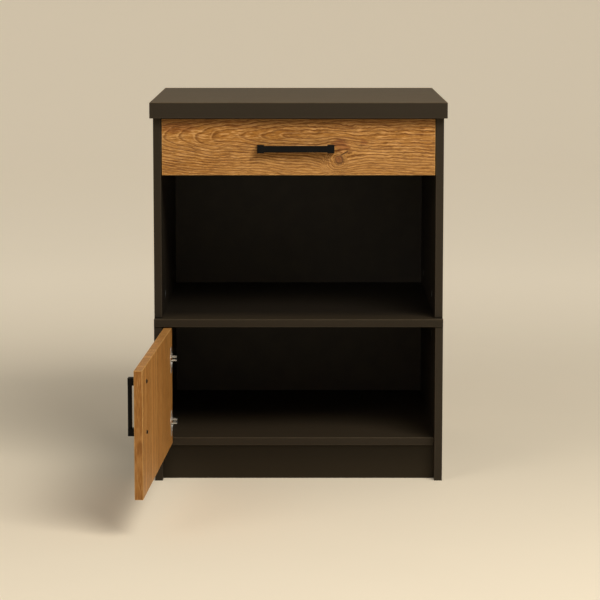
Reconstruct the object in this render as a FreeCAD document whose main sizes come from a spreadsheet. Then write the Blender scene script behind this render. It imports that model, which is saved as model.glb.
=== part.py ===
import FreeCAD
import Part
import Sketcher
import math
import os
import re

# Microwave stand with a drawer above an open niche and a hinged door below it, in millimetres.
# +X points right, +Y to the back and +Z up. The origin is the middle of the plinth board's
# underside, on the floor. Every name in a quoted expression is a cell of the sheet "Dimensions".

os.makedirs("parts", exist_ok=True)
doc = FreeCAD.newDocument("microwave_stand")

DIMENSIONS = {
    # carcass
    "stand_height": 774, "worktop_width": 600, "worktop_depth": 600, "worktop_thick": 32,
    "carcass_width": 588, "board": 16, "edge_radius": 1,
    "shelf_top": 334, "niche_height": 294, "upper_setback": 20, "lower_setback": 2,
    "floor_setback": 22, "floor_top": 86, "plinth_setback": 29, "plinth_height": 70,
    "back_thick": 3, "back_inset": 1, "back_lap": 14,
    # drawer
    "front_height": 114, "front_gap": 1.5, "front_drop": 2, "box_board": 12, "box_bottom": 652,
    "box_height": 80, "box_depth": 502, "sheet_thick": 3, "groove_width": 3.2, "groove_depth": 6,
    "groove_lift": 8, "runner_thick": 12.7, "runner_length": 500, "runner_height": 692,
    "runner_start": 2, "runner_steel": 1.2, "cage_steel": 0.7, "cage_length": 240,
    "ball_radius": 2, "ball_pitch": 40,
    # door
    "door_gap": 2.5, "door_top_gap": 2, "door_lap": 10, "door_open": 92.7,
    "pivot_in": 10.3, "pivot_depth": 6.8, "cup_edge": 4, "cup_bore": 35, "cup_depth": 12.5,
    "hinge_high": 252, "hinge_low": 122, "pin_radius": 1.2, "running_fit": 0.05,
    # bar handles
    "handle_section": 13, "handle_bar": 7, "handle_projection": 18, "foot_width": 14,
    "foot_height": 16.5, "drawer_handle_length": 156, "drawer_handle_left": 5.5,
    "drawer_handle_drop": 3, "door_handle_length": 109, "door_handle_inset": 65,
    "door_handle_height": 238.5,
    # fasteners
    "bore_room": 0.05, "tip_room": 0.5,
}

sheet = doc.addObject("Spreadsheet::Sheet", "Dimensions")
for row, (alias, value) in enumerate(DIMENSIONS.items(), 1):
    sheet.set(f"A{row}", alias)
    sheet.set(f"B{row}", str(value))
    sheet.setAlias(f"B{row}", alias)
doc.recompute()

# Planes of the stand, as expressions on the sheet.
INNER = "(carcass_width / 2 - board)"
FRONT = "(-plinth_setback - board / 2)"
UPPER_FRONT = f"({FRONT} + upper_setback)"
LOWER_FRONT = f"({FRONT} + lower_setback)"
FLOOR_FRONT = f"({FRONT} + floor_setback)"
BACK = f"({FRONT} + worktop_depth)"
REAR = f"({BACK} - back_inset - back_thick)"
TOP_UNDER = "(stand_height - worktop_thick)"
SHELF_UNDER = "(shelf_top - board)"
DIVIDER_UNDER = "(shelf_top + niche_height)"
FLOOR_UNDER = "(floor_top - board)"
BOX_FRONT = f"({UPPER_FRONT} + board)"
BOX_HALF = f"({INNER} - runner_thick)"
FRONT_UNDER = f"({TOP_UNDER} - front_drop - front_height)"
DOOR_LEFT = f"(-{INNER} + door_gap)"
DOOR_BACK = f"({LOWER_FRONT} + board)"
PIVOT_X = f"(-{INNER} + pivot_in)"
PIVOT_Y = f"({LOWER_FRONT} + pivot_depth)"
CUP_X = f"({DOOR_LEFT} + cup_edge + cup_bore / 2)"
DOOR_HANDLE_X = f"({INNER} - door_gap - door_handle_inset)"
HINGE_HEIGHTS = {"upper": "hinge_high", "lower": "hinge_low"}
SIDES = {"left": -1, "right": 1}

RIGHT = FreeCAD.Vector(1, 0, 0)
BACKWARD = FreeCAD.Vector(0, 1, 0)
UP = FreeCAD.Vector(0, 0, 1)

finished = []


# ---------------------------------------------------------------- expressions and sketches

def bound(text):
    """The expression with each dimension's name written as a cell of the sheet."""
    return re.sub(r"[a-z_]+", lambda word: f"Dimensions.{word[0]}" if word[0] in DIMENSIONS else word[0],
                  str(text))


def number(text):
    """The expression's value now."""
    return float(sheet.evalExpression(bound(text)))


def at(x, y, z):
    """The point that three expressions give."""
    return FreeCAD.Vector(number(x), number(y), number(z))


def put(piece, x=0, y=0, z=0):
    """Places a piece by three expressions."""
    for axis, text in zip("xyz", (x, y, z)):
        piece.setExpression(f"Placement.Base.{axis}", bound(text))


def plane_sketch(body, plane, name):
    """An empty sketch on one of the body's own origin planes."""
    sketch = body.newObject("Sketcher::SketchObject", name)
    origin_plane = next(item for item in body.Origin.OriginFeatures if item.Role == plane)
    sketch.AttachmentSupport = [(origin_plane, "")]
    sketch.MapMode = "FlatFace"
    return sketch


def fix_point(sketch, item, end, x, y):
    """Binds one point of the sketch's geometry to two expressions."""
    for kind, text in (("DistanceX", x), ("DistanceY", y)):
        index = sketch.addConstraint(Sketcher.Constraint(kind, -1, 1, item, end, number(text)))
        sketch.setExpression(f"Constraints[{index}]", bound(text))


def outline(body, plane, name, corners):
    """A sketch of the closed polygon through the corners, each a pair of expressions."""
    sketch = plane_sketch(body, plane, name)
    points = [FreeCAD.Vector(number(x), number(y), 0) for x, y in corners]
    for start, end in zip(points, points[1:] + points[:1]):
        sketch.addGeometry(Part.LineSegment(start, end))
    for item in range(len(points)):
        sketch.addConstraint(Sketcher.Constraint("Coincident", item, 2, (item + 1) % len(points), 1))
    for item, (x, y) in enumerate(corners):
        fix_point(sketch, item, 1, x, y)
    return sketch


def circles(body, plane, name, centres, radius):
    """A sketch of equal circles at the centres, each a pair of expressions."""
    sketch = plane_sketch(body, plane, name)
    for x, y in centres:
        centre = FreeCAD.Vector(number(x), number(y), 0)
        item = sketch.addGeometry(Part.Circle(centre, UP, number(radius)))
        fix_point(sketch, item, 3, x, y)
        index = sketch.addConstraint(Sketcher.Constraint("Radius", item, number(radius)))
        sketch.setExpression(f"Constraints[{index}]", bound(radius))
    return sketch


def rectangle(x0, y0, x1, y1):
    """The corners of an upright rectangle."""
    return [(x0, y0), (x1, y0), (x1, y1), (x0, y1)]


def extrude(body, kind, sketch, length, midplane=False, backwards=False):
    """A Pad or Pocket of the sketch, its length bound to the sheet."""
    feature = body.newObject(f"PartDesign::{kind}", f"{sketch.Name}_{kind.lower()}")
    feature.Profile = sketch
    feature.setExpression("Length", bound(length))
    feature.Midplane = midplane
    feature.Reversed = backwards
    sketch.Visibility = False
    doc.recompute()
    return feature


def turn(body, kind, sketch):
    """A Revolution or Groove of the sketch about its own upright axis."""
    feature = body.newObject(f"PartDesign::{kind}", f"{sketch.Name}_{kind.lower()}")
    feature.Profile = sketch
    feature.ReferenceAxis = (sketch, ["V_Axis"])
    feature.Angle = 360
    doc.recompute()
    return feature


def soften(body, radius, wanted=lambda edge: True):
    """A Fillet on the wanted edges of the body's last feature."""
    base = body.Tip
    names = [f"Edge{i}" for i, edge in enumerate(base.Shape.Edges, 1) if wanted(edge)]
    fillet = body.newObject("PartDesign::Fillet", f"{body.Name}_softened")
    fillet.Base = (base, names)
    fillet.setExpression("Radius", bound(radius))
    doc.recompute()


def new_body(name):
    return doc.addObject("PartDesign::Body", name)


# ---------------------------------------------------------------- fasteners and their holes

def turned(profile):
    """A solid turned about +Z from (radius, height) points that start and end on the axis."""
    points = [FreeCAD.Vector(radius, 0, height) for radius, height in profile]
    return Part.Face(Part.makePolygon(points + points[:1])).revolve(FreeCAD.Vector(), UP, 360)


def screw_profile(head, shank, length, head_height, flush):
    """A screw's profile down from its head's top at 0: a flush countersunk head or a standing one."""
    neck = head if not flush else shank
    return [(0, 0), (head, 0), (neck, -head_height), (shank, -head_height), (shank, -length), (0, -length)]


def hole_profile(profile, above=1.0):
    """The drilled hole for a profile: a little wider, deeper at the tip and open above its top."""
    room, tip = number("bore_room"), number("tip_room")
    bottom = min(height for _, height in profile)
    wider = [(radius + room if radius else 0, height - tip if height == bottom else height)
             for radius, height in profile]
    return [(0, above), (wider[1][0], above)] + wider[1:]


def without_repeats(points):
    """The points with each that equals the one before it dropped."""
    return [p for i, p in enumerate(points) if i == 0 or p != points[i - 1]]


class Fasteners:
    """A node of identical fasteners, and the holes that they need."""

    everything = []

    def __init__(self, label, profile, places, swing=False):
        profile = without_repeats(profile)
        solid = turned(profile)
        hole = turned(hole_profile(profile))
        self.holes = []
        solids = []
        for point, outwards in places:
            place = FreeCAD.Placement(point, FreeCAD.Rotation(UP, outwards))
            solids.append(solid.transformed(place.toMatrix()))
            self.holes.append(hole.transformed(place.toMatrix()))
        self.everything.append(self)
        node(label, solids, swing)


def node(label, solids, swing=False):
    """A finished node of one or more separate solids."""
    feature = doc.addObject("Part::Feature", label)
    feature.Label = label
    feature.Shape = solids[0] if len(solids) == 1 else Part.makeCompound(solids)
    finish(feature, swing)


def finish(piece, swing=False):
    """Counts a piece as finished; one on the door turns with it to its rest angle."""
    if swing:
        base = {"x": f"{PIVOT_X} - {PIVOT_X} * cos(door_open) - {PIVOT_Y} * sin(door_open)",
                "y": f"{PIVOT_Y} + {PIVOT_X} * sin(door_open) - {PIVOT_Y} * cos(door_open)"}
        for axis, text in base.items():
            piece.setExpression(f"Placement.Base.{axis}", bound(text))
        piece.setExpression("Placement.Rotation.Angle", bound("-door_open"))
    finished.append(piece)


def fitted(label, blank, swing=False, extra=()):
    """The blank with the holes of all fasteners that reach it, as a finished piece."""
    doc.recompute()
    holes = [hole for group in Fasteners.everything for hole in group.holes] + list(extra)
    near = [hole for hole in holes if hole.BoundBox.intersect(blank.Shape.BoundBox)]
    drills = doc.addObject("Part::Feature", f"{label}_holes")
    drills.Shape = Part.makeCompound(near)
    piece = doc.addObject("Part::Cut", label)
    piece.Label = label
    piece.Base = blank
    piece.Tool = drills
    finish(piece, swing)
    return piece


# ---------------------------------------------------------------- boards

def board(name, low, size, softened="front"):
    """A board from its low corner, with its front or all of its edges softened."""
    body = new_body(f"{name}_blank")
    length, depth, height = size
    extrude(body, "Pad", outline(body, "XY_Plane", f"{name}_plan", rectangle(0, 0, length, depth)), height)
    if softened == "front":
        soften(body, "edge_radius",
               lambda edge: all(vertex.Y < 1e-6 for vertex in edge.Vertexes))
    if softened == "all":
        soften(body, "edge_radius")
    put(body, *low)
    doc.recompute()
    return body


def depth_from(front):
    """A carcass board's depth from its front plane to the back sheet."""
    return f"({REAR} - {front})"


def side_x(side, thick="board"):
    """Where a side panel's low face is."""
    return f"-{INNER} - {thick}" if side < 0 else INNER


# ---------------------------------------------------------------- carcass fasteners

CONFIRMAT = screw_profile(head=5, shank=3.2, length=50, head_height=4, flush=False)
WOOD_SCREW_FLUSH = dict(head=3.4, shank=1.75, head_height=2.0, flush=True)
DOWEL_RADIUS = 4
CAM_RADIUS = 7.4
CAM_DEPTH = 12.4
CAM_REACH = 34
BOLT_RADIUS = 2.6
BOLT_HEAD = 3.6
SIDE_MIDDLE = f"({INNER} + board / 2)"
DOWEL_PLACES = (f"{UPPER_FRONT} + 62", f"{REAR} - 29")
TOP_BOLT_PLACES = (f"{UPPER_FRONT} + 107", f"{REAR} - 74")
SHELF_BOLT_PLACES = (f"{UPPER_FRONT} + 127", f"{REAR} - 99")
SCREWED_ENDS = (
    (f"{DIVIDER_UNDER} + board / 2", (f"{UPPER_FRONT} + 77", f"{REAR} - 79")),
    (f"{FLOOR_UNDER} + board / 2", (f"{LOWER_FRONT} + 75", f"{REAR} - 59")),
    ("plinth_height / 2", ("0",)),
)


def carcass_fasteners():
    """Dowels, cam fittings, carcass screws with their caps, and the back sheet's nails."""
    dowel = [(0, 0), (DOWEL_RADIUS - 0.6, 0), (DOWEL_RADIUS, -1), (DOWEL_RADIUS, -29),
             (DOWEL_RADIUS - 0.6, -30), (0, -30)]
    long_dowel = [(radius, height * 5 / 3) for radius, height in dowel]
    Fasteners("top_dowels", dowel,
              [(at(f"{side} * {SIDE_MIDDLE}", y, f"{TOP_UNDER} + 13"), UP)
               for side in SIDES.values() for y in DOWEL_PLACES])
    Fasteners("shelf_dowels", long_dowel,
              [(at(f"{side} * {SIDE_MIDDLE}", y, f"{SHELF_UNDER} + board / 2 + 25"), UP)
               for side in SIDES.values() for y in DOWEL_PLACES])

    top_bolt = [(0, 11), (3, 11), (3, 0), (BOLT_RADIUS, 0), (BOLT_RADIUS, -CAM_REACH + 2),
                (BOLT_HEAD, -CAM_REACH + 2), (BOLT_HEAD, -CAM_REACH - 2), (0, -CAM_REACH - 2)]
    end = number("board / 2") + CAM_REACH
    shelf_bolt = [(0, end + 2), (BOLT_HEAD, end + 2), (BOLT_HEAD, end - 2), (BOLT_RADIUS, end - 2),
                  (BOLT_RADIUS, -end + 2), (BOLT_HEAD, -end + 2), (BOLT_HEAD, -end - 2), (0, -end - 2)]
    top_bolts = [at(f"{side} * {SIDE_MIDDLE}", y, TOP_UNDER)
                 for side in SIDES.values() for y in TOP_BOLT_PLACES]
    shelf_bolts = [at(f"{side} * {SIDE_MIDDLE}", y, f"{SHELF_UNDER} + board / 2")
                   for side in SIDES.values() for y in SHELF_BOLT_PLACES]
    bolt_room = [(0, end + 3), (4, end + 3), (4, -end - 3), (0, -end - 3)]
    top_room = [(0, 11.5), (3.05, 11.5), (3.05, 0), (4, 0), (4, -CAM_REACH - 3), (0, -CAM_REACH - 3)]
    node("top_cam_bolts", [moved(turned(top_bolt), point, UP) for point in top_bolts])
    node("shelf_cam_bolts", [moved(turned(shelf_bolt), point, UP) for point in shelf_bolts])

    rooms = [moved(turned(top_room), point, UP) for point in top_bolts]
    rooms += [moved(turned(bolt_room), point, UP) for point in shelf_bolts]
    centres = [point - UP * CAM_REACH for point in top_bolts]
    centres += [point + UP * step for point in shelf_bolts for step in (end, -end)]
    cams, pockets = [], []
    for centre in centres:
        inwards = RIGHT * -math.copysign(1, centre.x)
        mouth = FreeCAD.Vector(math.copysign(number(INNER), centre.x), centre.y, centre.z)
        cam = moved(turned([(0, 0), (CAM_RADIUS, 0), (CAM_RADIUS, -CAM_DEPTH), (0, -CAM_DEPTH)]), mouth, inwards)
        cams.append(cam.cut(Part.makeCompound(rooms + [driver_slot(mouth, inwards, 7, 1.4)])))
        pockets.append(moved(turned([(0, 1), (CAM_RADIUS + 0.1, 1), (CAM_RADIUS + 0.1, -CAM_DEPTH - 0.1),
                                     (0, -CAM_DEPTH - 0.1)]), mouth, inwards))
    node("cam_discs", cams)

    screws = [(at(f"{side} * ({INNER} + board)", y, z), RIGHT * side)
              for side in SIDES.values() for z, depths in SCREWED_ENDS for y in depths]
    Fasteners("carcass_screws", CONFIRMAT, screws)
    cap = [(0, 0.8), (5.2, 0.8), (6, 0.2), (6, 0), (0, 0)]
    node("screw_caps", [moved(turned(cap), point, outwards) for point, outwards in screws])

    Fasteners("back_nails", [(0, 0.5), (2.2, 0.5), (2.2, 0), (0.8, 0), (0.8, -19), (0, -20)],
              [(at(x, f"{REAR} + back_thick", z), BACKWARD) for x, z in nail_spots()])
    return rooms + pockets


def nail_spots():
    """Nails up both sides and along each board that the back sheet covers."""
    up_the_sides = [(f"{side} * {SIDE_MIDDLE}", height)
                    for side in SIDES.values() for height in (96, 178, 260, 400, 480, 560, 676)]
    across = [(x, f"{under} + board / 2")
              for under in (FLOOR_UNDER, SHELF_UNDER, DIVIDER_UNDER) for x in (-180, -60, 60, 180)]
    return up_the_sides + across


def moved(shape, point, direction):
    """A copy of a shape turned about +Z, stood at a point with its axis along a direction."""
    return shape.transformed(FreeCAD.Placement(point, FreeCAD.Rotation(UP, direction)).toMatrix())


def driver_slot(point, direction, length, width, depth=1.4):
    """The cross that a screwdriver fits, sunk into a head whose top is at the point."""
    bars = [Part.makeBox(a, b, depth + 1, FreeCAD.Vector(-a / 2, -b / 2, -depth))
            for a, b in ((length, width), (width, length))]
    return moved(bars[0].fuse(bars[1]), point, direction)


# ---------------------------------------------------------------- carcass

def carcass(cam_rooms):
    """The worktop, side panels, shelves, plinth and back sheet."""
    blanks = {
        "worktop": board("worktop", ("-worktop_width / 2", FRONT, TOP_UNDER),
                         ("worktop_width", "worktop_depth", "worktop_thick"), "all"),
        "microwave_shelf": board("microwave_shelf", ("-carcass_width / 2", FRONT, SHELF_UNDER),
                                 ("carcass_width", depth_from(FRONT), "board")),
        "drawer_divider": board("drawer_divider", (f"-{INNER}", f"{BOX_FRONT} + front_drop", DIVIDER_UNDER),
                                (f"2 * {INNER}", depth_from(f"({BOX_FRONT} + front_drop)"), "board")),
        "bottom_panel": board("bottom_panel", (f"-{INNER}", FLOOR_FRONT, FLOOR_UNDER),
                              (f"2 * {INNER}", depth_from(FLOOR_FRONT), "board")),
        "plinth_board": board("plinth_board", (f"-{INNER}", "-board / 2", 0),
                              (f"2 * {INNER}", "board", "plinth_height"), None),
        "back_sheet": board("back_sheet", (f"-{INNER} - back_lap", REAR, FLOOR_UNDER),
                            (f"2 * ({INNER} + back_lap)", "back_thick", f"{TOP_UNDER} - {FLOOR_UNDER}"), None),
    }
    for name, side in SIDES.items():
        upper, lower = f"upper_side_{name}", f"lower_side_{name}"
        blanks[upper] = board(upper, (side_x(side), UPPER_FRONT, "shelf_top"),
                              ("board", depth_from(UPPER_FRONT), f"{TOP_UNDER} - shelf_top"))
        blanks[lower] = board(lower, (side_x(side), LOWER_FRONT, 0),
                              ("board", depth_from(LOWER_FRONT), SHELF_UNDER))
    for name, blank in blanks.items():
        fitted(name, blank, extra=cam_rooms)


# ---------------------------------------------------------------- bar handles

def bar_handle(name, length):
    """A flat bar between two slightly taller feet that stand on y = 0; it reaches towards -Y."""
    body = new_body(f"{name}_blank")
    half = f"({length} / 2)"
    inner = f"({half} - foot_width)"
    for side, x0, x1 in (("left", f"-{half}", f"-{inner}"), ("right", inner, half)):
        foot = outline(body, "XY_Plane", f"{name}_foot_{side}", rectangle(x0, "-handle_projection", x1, 0))
        extrude(body, "Pad", foot, "foot_height", midplane=True)
    bar = rectangle(f"-{inner}", "-handle_projection", inner, "-(handle_projection - handle_bar)")
    extrude(body, "Pad", outline(body, "XY_Plane", f"{name}_bar", bar), "handle_section", midplane=True)
    soften(body, "edge_radius * 0.6", lambda edge: min(vertex.Y for vertex in edge.Vertexes) < -1)
    return body


def handle_screws(label, depth, thickness, spots, swing=False):
    """Machine screws through boards of the given thickness into a handle's feet."""
    profile = screw_profile(head=4, shank=2, length=thickness + 9 + 2.4, head_height=2.4, flush=False)
    Fasteners(label, profile, [(at(x, f"{depth} + 2.4", z), BACKWARD) for x, z in spots], swing)


# ---------------------------------------------------------------- drawer

def drawer():
    """The drawer's front, its box in a grooved bottom, and its handle."""
    foot = "(drawer_handle_length - foot_width) / 2"
    middle = f"({FRONT_UNDER} + front_height / 2 - drawer_handle_drop)"
    inside = f"({BOX_FRONT} + box_board)"
    rear = f"({BOX_FRONT} + box_depth - box_board)"
    handle_screws("drawer_handle_screws", inside, number("board + box_board"),
                  [(f"{sign} * {foot} - drawer_handle_left", middle) for sign in (-1, 1)])
    flush = WOOD_SCREW_FLUSH
    Fasteners("drawer_front_screws", screw_profile(length=24, **flush),
              [(at(x, inside, z), BACKWARD) for x in (-200, 200)
               for z in ("box_bottom + 23", "box_bottom + 63")])
    Fasteners("drawer_corner_screws", screw_profile(length=36, **flush),
              [(at(f"{side} * {BOX_HALF}", y, z), RIGHT * side)
               for side in SIDES.values()
               for y in (f"{BOX_FRONT} + box_board / 2", f"{rear} + box_board / 2")
               for z in ("box_bottom + 20", "box_bottom + 70")])

    span = f"({BOX_HALF} - box_board)"
    sheet_half = f"({span} + groove_depth - 0.5)"
    sheet_front = f"({inside} - groove_depth + 0.5)"
    sheet_depth = "(box_depth - 2 * box_board + 2 * groove_depth - 1)"
    bottom = board("drawer_bottom", (f"-{sheet_half}", sheet_front, "box_bottom + groove_lift + 0.1"),
                   (f"2 * {sheet_half}", sheet_depth, "sheet_thick"), None)
    bottom.Label = "drawer_bottom"
    finished.append(bottom)
    groove = Part.makeBox(number(f"2 * ({span} + groove_depth)"),
                          number("box_depth - 2 * box_board + 2 * groove_depth"), number("groove_width"),
                          at(f"-{span} - groove_depth", f"{inside} - groove_depth", "box_bottom + groove_lift"))

    panels = {
        "drawer_box_front": (f"-{span}", BOX_FRONT, f"2 * {span}", "box_board"),
        "drawer_box_back": (f"-{span}", rear, f"2 * {span}", "box_board"),
        "drawer_side_left": (f"-{BOX_HALF}", BOX_FRONT, "box_board", "box_depth"),
        "drawer_side_right": (span, BOX_FRONT, "box_board", "box_depth"),
    }
    for name, (x, y, length, depth) in panels.items():
        fitted(name, board(name, (x, y, "box_bottom"), (length, depth, "box_height"), None), extra=[groove])
    front = board("drawer_front", (f"-{INNER} + front_gap", UPPER_FRONT, FRONT_UNDER),
                  (f"2 * ({INNER} - front_gap)", "board", "front_height"), "all")
    fitted("drawer_front", front)
    handle = bar_handle("drawer_handle", "drawer_handle_length")
    put(handle, "-drawer_handle_left", UPPER_FRONT, middle)
    fitted("drawer_handle", handle)


# ---------------------------------------------------------------- ball-bearing runners

def channel(low, high, half, steel, lip=0):
    """A channel's section: its web at the low side, flanges out to the high side, and any lips."""
    web = f"({low} + {steel})"
    inner_half = f"({half} - {steel})"
    right = [(low, f"-{half}"), (high, f"-{half}")]
    if lip:
        right += [(high, f"-{half} + {lip}"), (f"{high} - {steel}", f"-{half} + {lip}"),
                  (f"{high} - {steel}", f"-{inner_half}")]
    else:
        right += [(high, f"-{inner_half}")]
    right += [(web, f"-{inner_half}")]
    return right + [(x, f"-({z})") for x, z in reversed(right)]


RUNNER_SECTIONS = {
    "runner_outer": channel("0", "9.8", "22.8", "runner_steel", lip=3.8),
    "runner_middle": channel("2.6", "9.6", "17.4", "runner_steel"),
    "runner_inner": [(f"runner_thick - {x}", z)
                     for x, z in channel("0", "7.5", "12", "runner_steel")],
}
CAGES = {
    "outer": dict(web="1.55", reach="8.2", half="19.85", row="4.9", height="19.5"),
    "inner": dict(web="4.15", reach="9.2", half="14.45", row="6.9", height="14.1"),
}
RUNNER_SCREWS = (29, 249, 469)
BALLS_IN_A_ROW = 6


def section_bar(name, corners, length, side):
    """A bar of constant section along +Y, its section measured from a side panel inwards."""
    body = new_body(f"{name}_blank")
    extrude(body, "Pad", outline(body, "XZ_Plane", f"{name}_section", corners), length, backwards=True)
    if side > 0:
        body.setExpression("Placement.Rotation.Angle", "180")
    return body


def runners():
    """Three nested steel channels on each side of the drawer, with balls in cages between them."""
    start = f"({BOX_FRONT} + runner_start)"
    flush = WOOD_SCREW_FLUSH
    Fasteners("runner_cabinet_screws", screw_profile(length=14, **flush),
              [(at(f"{side} * ({INNER} - runner_steel)", f"{start} + {y}", "runner_height"), RIGHT * -side)
               for side in SIDES.values() for y in RUNNER_SCREWS])
    Fasteners("runner_drawer_screws", screw_profile(length=11, **flush),
              [(at(f"{side} * ({BOX_HALF} + runner_steel)", f"{start} + {y}", "runner_height"), RIGHT * side)
               for side in SIDES.values() for y in RUNNER_SCREWS])
    for name, side in SIDES.items():
        origin = start if side < 0 else f"({start} + runner_length)"
        for member, corners in RUNNER_SECTIONS.items():
            label = f"{member}_{name}"
            bar = section_bar(label, corners, "runner_length", side)
            put(bar, f"{side} * {INNER}", origin, "runner_height")
            if member == "runner_middle":
                bar.Label = label
                finished.append(bar)
            else:
                fitted(label, bar)
    for level, size in CAGES.items():
        cages_and_balls(level, start, **size)


def cages_and_balls(level, start, web, reach, half, row, height):
    """The cages at one level, left and right, and the balls that they space."""
    cage_start = f"({start} + (runner_length - cage_length) / 2)"
    first = f"((cage_length - {BALLS_IN_A_ROW - 1} * ball_pitch) / 2)"
    cages, balls = [], []
    for name, side in SIDES.items():
        bar = section_bar(f"{level}_cage_{name}", channel(web, reach, half, "cage_steel"), "cage_length", side)
        centres = [(f"{row}", f"{first} + {i} * ball_pitch") for i in range(BALLS_IN_A_ROW)]
        windows = circles(bar, "XY_Plane", f"{level}_cage_{name}_windows", centres, "ball_radius + 0.1")
        extrude(bar, "Pocket", windows, "3 * runner_height", midplane=True)
        put(bar, f"{side} * {INNER}", cage_start if side < 0 else f"({cage_start} + cage_length)",
            "runner_height")
        doc.recompute()
        cages.append(bar.Shape.copy())
        balls += [Part.makeSphere(number("ball_radius"),
                                  at(f"{side} * ({INNER} - {row})", f"{cage_start} + {y}",
                                     f"runner_height + {end} * {height}"))
                  for _, y in centres for end in (-1, 1)]
    node(f"{level}_ball_cages", cages)
    node(f"{level}_balls", balls)


# ---------------------------------------------------------------- door and its concealed hinges

def door():
    """The door, its handle, and the parts of its hinges that swing with it."""
    foot = "(door_handle_length - foot_width) / 2"
    handle_screws("door_handle_screws", DOOR_BACK, number("board"),
                  [(DOOR_HANDLE_X, f"door_handle_height + {sign} * {foot}") for sign in (-1, 1)], swing=True)
    flange = f"({DOOR_BACK} + 1)"
    Fasteners("cup_screws", screw_profile(length=13, **WOOD_SCREW_FLUSH),
              [(at(f"{CUP_X} + 5", flange, f"{height} + {step}"), BACKWARD)
               for height in HINGE_HEIGHTS.values() for step in (-22, 22)], swing=True)
    pin = turned([(0, 7.5), (number("pin_radius"), 7.5), (number("pin_radius"), -7.5), (0, -7.5)])
    node("hinge_pins", [moved(pin, at(PIVOT_X, PIVOT_Y, height), UP)
                        for height in HINGE_HEIGHTS.values()], swing=True)

    cup_bores = [moved(turned([(0, 1), (number("cup_bore / 2"), 1), (number("cup_bore / 2"), -number("cup_depth")),
                               (0, -number("cup_depth"))]), at(CUP_X, DOOR_BACK, height), BACKWARD)
                 for height in HINGE_HEIGHTS.values()]
    panel = board("door_panel", (DOOR_LEFT, LOWER_FRONT, "floor_top - door_lap"),
                  (f"2 * ({INNER} - door_gap)", "board", f"{SHELF_UNDER} - door_top_gap - floor_top + door_lap"),
                  "all")
    fitted("door_panel", panel, swing=True, extra=cup_bores)
    handle = bar_handle("door_handle", "door_handle_length")
    handle.setExpression("Placement.Rotation.Angle", "90")
    handle.Placement.Rotation.Axis = BACKWARD
    put(handle, DOOR_HANDLE_X, LOWER_FRONT, "door_handle_height")
    fitted("door_handle", handle, swing=True)
    for name, height in HINGE_HEIGHTS.items():
        cup = hinge_cup(f"hinge_cup_{name}")
        put(cup, CUP_X, PIVOT_Y, height)
        fitted(f"hinge_cup_{name}", cup, swing=True)


CUP_RADIUS = "(cup_bore / 2 - 0.1)"
CUP_INSIDE = "(cup_bore / 2 - 0.9)"
CUP_FACE = "(board - pivot_depth)"
CUP_UNDER = f"({CUP_FACE} - cup_depth + 0.1)"
CUP_FLOOR = f"({CUP_UNDER} + 0.7)"
PIN_IN_CUP = f"({PIVOT_X} - {CUP_X})"


def hinge_cup(name):
    """The round cup with its flange, the lugs for the pin, and the notch that the arm leaves by.

    Its origin is on the cup's axis, at the pin's depth; the mouth faces +Y.
    """
    body = new_body(f"{name}_blank")
    outside = [(0, CUP_UNDER), (CUP_RADIUS, CUP_UNDER), (CUP_RADIUS, CUP_FACE), ("19", CUP_FACE),
               ("19", f"{CUP_FACE} + 1"), (0, f"{CUP_FACE} + 1")]
    turn(body, "Revolution", outline(body, "XY_Plane", f"{name}_outside", outside))
    ears = outline(body, "XY_Plane", f"{name}_ears",
                   rectangle("-4", CUP_FACE, "12", f"{CUP_FACE} + 1"))
    extrude(body, "Pad", ears, "54", midplane=True)
    soften(body, "5", lambda edge: edge.Length < 1.01 and abs(edge.CenterOfMass.z) > 26)
    inside = rectangle(0, CUP_FLOOR, CUP_INSIDE, f"{CUP_FACE} + 2")
    turn(body, "Groove", outline(body, "XY_Plane", f"{name}_inside", inside))
    lug = rectangle(f"{PIN_IN_CUP} - 1.9", CUP_FLOOR, f"{PIN_IN_CUP} + 2.1", "2.4")
    lugs = extrude(body, "Pad", outline(body, "XY_Plane", f"{name}_lugs", lug), "15.2", midplane=True)
    gap = rectangle(f"{PIN_IN_CUP} - 2", CUP_FLOOR, f"{PIN_IN_CUP} + 2.2", "2.5")
    extrude(body, "Pocket", outline(body, "XY_Plane", f"{name}_gap", gap), "11.2", midplane=True)
    eye = circles(body, "XY_Plane", f"{name}_pin_hole", [(PIN_IN_CUP, 0)], "pin_radius + 0.02")
    extrude(body, "Pocket", eye, "15.1", midplane=True)
    notch = rectangle("-20", "2.6", "-14.5", f"{CUP_FACE} + 2")
    extrude(body, "Pocket", outline(body, "XY_Plane", f"{name}_notch", notch), "10.6", midplane=True)
    return body


ARM_END = "68"
TONGUE = "9"


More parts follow.
